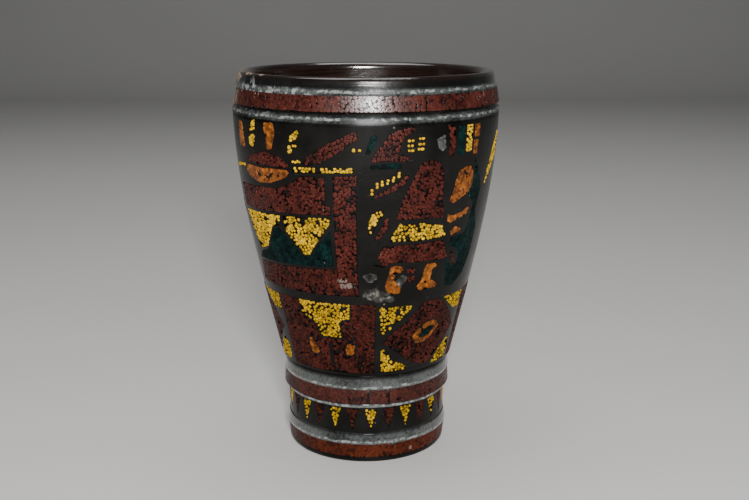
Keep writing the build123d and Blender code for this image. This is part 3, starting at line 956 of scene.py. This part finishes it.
# %% The outlines of one dome
POCKET_DEPTH = 1.03 * MM
DOME_STEPS = ((1.0, 0.0, 0.0), (1.0, 0.0, 0.0), (0.86, 0.62, 0.7), (0.5, 0.93, 0.95))
LOWEST_CROWN = 3.2  # the deepest crown of a dab, as a multiple of its style's


def ray_directions(count):
    turns = np.arange(count) * 2 * pi / count
    return np.column_stack([np.cos(turns), np.sin(turns)])


def dome_faces(ray_count):
    """Bottom, side and top faces of one dab, as point numbers counted from its first point."""
    faces = [tuple(reversed(range(ray_count)))]
    for ring in range(len(DOME_STEPS) - 1):
        low, high = ring * ray_count, (ring + 1) * ray_count
        for k in range(ray_count):
            after = (k + 1) % ray_count
            faces.append((low + k, low + after, high + after, high + k))
    tip = len(DOME_STEPS) * ray_count
    last = tip - ray_count
    faces.extend((last + k, last + (k + 1) % ray_count, tip) for k in range(ray_count))
    return faces


# %% The domes of one pocket
def add_domes(parts, pocket, middles, reach, style, random):
    """Adds one pocket's domes. Shoulder and crown are depths under the inlay's outer face."""
    count, ray_count = reach.shape
    rays = ray_directions(ray_count)
    chance = random.uniform(0.0, 1.0, count)
    top = style["crown"] * random.uniform(1.0, LOWEST_CROWN, count)
    shoulder = style["shoulder"]
    rings, crowns = [], []
    for number, (shrink, climb, crown) in enumerate(DOME_STEPS):
        sheet = middles[:, None, :] + rays[None, :, :] * (reach * shrink)[:, :, None]
        depth = shoulder + climb * (top - shoulder) if number else np.full(count, POCKET_DEPTH)
        points = pocket.rolled(sheet.reshape(-1, 2), np.repeat(-depth, ray_count))
        rings.append(points.reshape(count, ray_count, 3))
        crowns.append(max(crown, style["joint"]) if number else 0.0)
    tip = pocket.rolled(middles, -top)
    verts = np.concatenate([np.concatenate(rings, axis=1), tip[:, None, :]], axis=1)
    per_dab = verts.shape[1]
    pattern = dome_faces(ray_count)
    for dab in range(count):
        first = parts["count"] + dab * per_dab
        parts["faces"].extend([first + k for k in face] for face in pattern)
    parts["verts"].append(verts.reshape(-1, 3))
    parts["crown"].append(np.tile(np.append(np.repeat(crowns, ray_count), 1.0), count))
    parts["dab"].append(np.repeat(chance, per_dab))
    parts["count"] += count * per_dab


# %% One mesh for one inlay
FEW_DABS = 14  # a pocket with fewer than this loses none


def uneven_limit(count, ray_count, style, random):
    """How far each dab may spread: its own size, longer one way, and slightly lumpy."""
    low, high = style["sizes"]
    limit = style["spacing"] * style["reach"] * random.uniform(low, high, (count, 1))
    lean = random.uniform(0, pi, (count, 1))
    turns = np.arange(ray_count) * 2 * pi / ray_count
    limit = limit * (1 + style["long"] * np.cos(2 * (turns - lean)))
    return limit * random.uniform(0.9, 1.08, (count, ray_count))


def dab_mesh(name, pockets, style, random):
    """All the dabs of an inlay in one mesh, with their values stored on its points."""
    rays = ray_directions(style["rays"])
    parts = {"verts": [], "faces": [], "crown": [], "dab": [], "count": 0}
    for pocket in pockets:
        middles = spread(pocket, style["spacing"], style["squash"], style["rounds"], random)
        kept = random.uniform(0, 1, len(middles)) >= style["lost"]
        middles = middles[kept | (len(middles) < FEW_DABS)]
        limit = uneven_limit(len(middles), len(rays), style, random)
        reach = reaches(pocket, middles, rays, limit, style["gap"])
        add_domes(parts, pocket, middles, reach, style, random)
    mesh = bpy.data.meshes.new(name)
    mesh.from_pydata(np.vstack(parts["verts"]).tolist(), [], parts["faces"])
    for label in ("crown", "dab"):
        layer = mesh.attributes.new(label, "FLOAT", "POINT")
        layer.data.foreach_set("value", np.concatenate(parts[label]).astype(np.float32))
    mesh.polygons.foreach_set("use_smooth", [True] * len(mesh.polygons))
    mesh.update()
    return mesh


# %% [markdown]
# ## Mastic finishes
# The resin is matt to satin, slightly different from dab to dab, darker with dirt and painted shade
# between the dabs and rubbed paler on top. The lower half is duller, and its colour is darkened with
# painted shade where the light falls off towards the foot. Every colour behaves in the same way, so
# one function makes them all, and the part they share is a group: it turns the two stored values
# into masks.

# %% What the mastics share
def build_dab_group():
    """From the stored values: a tint for each dab, dirt and painted shade in the joints, rubbed tops
    and relief.
    """
    inputs = [("Dirt reach", 0.35), ("Rubbing", 0.5), ("Grain size", 900.0), ("Dab contrast", 0.4)]
    outputs = ["Tint", "Dirt", "Rubbed", "Relief"]
    group, given, out = new_group("pressed_dabs", inputs, outputs)
    where = coordinates(group)
    crown = add(group, "Attribute", attribute_name="crown").outputs["Fac"]
    dab = add(group, "Attribute", attribute_name="dab").outputs["Fac"]
    fine = noise(group, where, given["Grain size"], 4.0)
    patchy = noise(group, where, 90.0, 3.0)
    smear = noise(group, where, 420.0, 2.0)
    shade = sums(group, "MULTIPLY_ADD", smear, 0.5, product(group, patchy, 0.6))
    # Dirt and painted shade: darker where a dab's crown is low, in the joints.
    ragged = sums(group, "MULTIPLY_ADD", fine, 0.5, sums(group, "SUBTRACT", crown, 0.25))
    worn_patches = ramp(group, product(group, patchy, fine), 0.2, 0.4)
    rubbed = product(group, ramp(group, crown, 0.7, 1.0), worn_patches)
    return give_out(
        group, out,
        Tint=sums(group, "MULTIPLY_ADD", dab, given["Dab contrast"], shade),
        Dirt=ramp(group, ragged, 0.0, given["Dirt reach"], 1.0, 0.0),
        Rubbed=product(group, rubbed, given["Rubbing"]),
        Relief=sums(group, "MULTIPLY_ADD", patchy, 0.4, product(group, fine, 0.6)),
    )


dab_group = build_dab_group()
print("dab group:", len(dab_group.nodes), "nodes")

# %% A mastic of one colour
# Dark colour for dirt and painted shade in the joints, and for painted shade low down.
DIRT_AND_SHADE = (0.009, 0.008, 0.007, 1)
GRAIN_SIZE = 900.0
# Painted shade: below these heights the mastic is darkened, where the light falls off.
shade_below, unshaded_above = 70.0, 115.0  # heights in mm
dull_below, shiny_above = 60.0, 140.0


def mastic(
    name, deep, plain, bright, rubbed, roughness=(0.3, 0.5), rubbing=0.5, dirt_reach=0.35,
    dab_contrast=0.3, shine=0.25, chips=(),
):
    """Pigmented resin: deep to bright between dabs, dirt and painted shade in the joints, rubbed on
    top, and painted shade low down.
    """
    material, tree, shader = new_material(name)
    where = coordinates(tree)
    place = use_group(tree, place_group)
    shared = use_group(
        tree, dab_group, dirt_reach=dirt_reach, rubbing=rubbing, grain_size=GRAIN_SIZE,
        dab_contrast=dab_contrast,
    )
    tint = sums(tree, "SUBTRACT", shared["Tint"], 0.5 * dab_contrast)
    colour = blend(tree, ramp(tree, tint, 0.35, 0.55), deep, plain)
    colour = blend(tree, ramp(tree, tint, 0.55, 0.78), colour, bright)
    colour = blend(tree, shared["Rubbed"], colour, rubbed)
    # Dirt and painted shade in the joints between the dabs.
    colour = blend(tree, shared["Dirt"], colour, DIRT_AND_SHADE)
    # Painted shade, darker towards the foot.
    painted_shade_low = ramp(tree, place["Height"], shade_below, unshaded_above, 0.28, 0.0)
    colour = blend(tree, painted_shade_low, colour, DIRT_AND_SHADE)
    specks = use_group(tree, speck_group, scale=330.0, size=0.14, share=0.05)["Mask"]
    colour = blend(tree, product(tree, specks, 0.25), colour, PALE_SCUFF)
    if chips:
        chipped = spots_mask(tree, place, chips, 1.4, 900.0)
        colour = blend(tree, product(tree, chipped, 0.3), colour, PALE_SCUFF)
    join(tree, colour, shader.inputs["Base Color"])
    gloss = ramp(tree, noise(tree, where, 140.0), 0.3, 0.7, *roughness)
    join(tree, sums(tree, "MULTIPLY_ADD", shared["Dirt"], 0.15, gloss), shader.inputs["Roughness"])
    join(tree, bumped(tree, shared["Relief"], 0.1 * MM, 0.7), shader.inputs["Normal"])
    specular = ramp(tree, place["Height"], dull_below, shiny_above, 0.3 * shine, shine)
    join(tree, specular, shader.inputs["Specular IOR Level"])
    return material


# %% The seven colours
frame_chips = ((-9.0, 89.6, 3.6, 1.4), (-11.5, 92.0, 2.6, 0.8))
foot_chip = (33.0, 5.0, 1.6, 1.0)
pigments = {  # deep, plain, bright and rubbed colour, then what differs from the usual finish
    "maroon_mastic": (
        (0.011, 0.0016, 0.001, 1), (0.040, 0.0062, 0.0036, 1), (0.070, 0.0125, 0.0078, 1),
        (0.095, 0.025, 0.018, 1), {"rubbing": 0.35, "shine": 0.16, "chips": frame_chips},
    ),
    "dark_brick_mastic": (
        (0.013, 0.0025, 0.0018, 1), (0.045, 0.0085, 0.0052, 1), (0.075, 0.016, 0.010, 1),
        (0.10, 0.035, 0.027, 1), {"roughness": (0.24, 0.38), "rubbing": 0.3, "shine": 0.45},
    ),
    "brick_mastic": (
        (0.024, 0.0035, 0.001, 1), (0.068, 0.010, 0.0024, 1), (0.10, 0.018, 0.0045, 1),
        (0.12, 0.035, 0.014, 1), {"roughness": (0.26, 0.42), "rubbing": 0.3, "chips": (foot_chip,)},
    ),
    "yellow_mastic": (
        (0.17, 0.10, 0.001, 1), (0.43, 0.25, 0.001, 1), (0.68, 0.40, 0.004, 1),
        (0.74, 0.48, 0.02, 1), {"rubbing": 0.25, "dirt_reach": 0.25},
    ),
    "orange_mastic": (
        (0.060, 0.014, 0.001, 1), (0.165, 0.045, 0.004, 1), (0.36, 0.105, 0.011, 1),
        (0.40, 0.16, 0.035, 1), {"rubbing": 0.3, "dirt_reach": 0.25},
    ),
    "teal_mastic": (
        (0.0004, 0.0026, 0.0026, 1), (0.0008, 0.0078, 0.0072, 1), (0.0022, 0.017, 0.0155, 1),
        (0.01, 0.03, 0.027, 1), {"roughness": (0.42, 0.6), "rubbing": 0.2, "shine": 0.06},
    ),
    "pale_mastic": (
        (0.03, 0.032, 0.028, 1), (0.055, 0.06, 0.056, 1), (0.10, 0.11, 0.10, 1),
        (0.13, 0.13, 0.12, 1), {},
    ),
}
mastics = {name: mastic(name, *colours, **rest) for name, (*colours, rest) in pigments.items()}
print("mastics:", sorted(mastics))

# %% [markdown]
# ## Pressing the dabs into every pocket
# Yellow was laid as separate round beads, and the other colours were pressed until they ran
# together. The bands round the rim, waist and foot have longer dabs, smeared along the turning.
# Every inlay becomes one piece that stands for its solid in the model.

# %% Styles of dab
merged = dict(
    spacing=1.45 * MM, squash=1.0, rounds=1, reach=0.68, sizes=(0.8, 1.25), long=0.26,
    gap=-0.16 * MM, rays=10, shoulder=0.12 * MM, crown=0.02 * MM, joint=0.45, lost=0.11,
)
beads = dict(
    merged, spacing=1.42 * MM, rounds=2, reach=0.56, sizes=(0.68, 1.15), long=0.1, gap=-0.06 * MM,
    rays=12, lost=0.15, shoulder=0.34 * MM, joint=0.2,
)
smooth = dict(
    merged, spacing=1.4 * MM, reach=0.95, gap=-0.3 * MM, shoulder=0.07 * MM, joint=0.6, lost=0.015
)
smeared = dict(
    smooth, spacing=1.35 * MM, squash=1.3, reach=0.9, shoulder=0.035 * MM, crown=0.008 * MM,
    joint=0.66, lost=0.04,
)
style_of_slot = {
    "maroon_mastic": merged, "yellow_mastic": beads, "orange_mastic": smooth,
    "teal_mastic": smooth, "pale_mastic": smooth, "dark_brick_mastic": smeared,
    "brick_mastic": smeared,
}
print("dab styles for", sorted(style_of_slot))

# %% Cracks in the bands
BAND_PARTS = {  # degrees; parts are cracked apart, and a length of the rim band fell out
    "rim_band": [(-68.0, 24.0), (24.5, 143.0), (143.0, 262.0)],
    "waist_band": [(-120.0, 0.6), (1.9, 14.4), (15.5, 120.0), (120.0, 240.0)],
    "base_band": [(-60.0, 60.0), (60.0, 180.0), (180.0, 300.0)],
}


def pockets_of(name):
    """The pockets of an inlay, or the lengths of channel of a band."""
    pockets = pocket_borders(name)
    if name in band_names:
        loops = [loop for pocket in pockets for loop in pocket]
        return [Channel(loops, start, end) for start, end in BAND_PARTS[name]]
    profile = frieze_profile if name in frieze_names else field_profile
    return [Pocket(loops, profile) for loops in pockets]


# %% Make all the inlays
def make_inlay(name, seed):
    """The dabs of one CAD node, as a piece that stands for it."""
    material_slot = slot_of[name]
    random = np.random.default_rng(seed)
    style = style_of_slot[material_slot]
    mesh = dab_mesh(name + "_dabs", pockets_of(name), style, random)
    mesh.materials.append(mastics[material_slot])
    piece = bpy.data.objects.new(name + "_dabs", mesh)
    bpy.context.scene.collection.objects.link(piece)
    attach(piece, "root")
    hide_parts(name)
    return piece


inlay_names = sorted(set(cad_nodes) - {"vessel_body"})
inlays = [make_inlay(name, seed) for seed, name in enumerate(inlay_names)]
triangles = sum(len(face.vertices) - 2 for piece in inlays for face in piece.data.polygons)
print(len(inlays), "inlays,", triangles, "triangles")
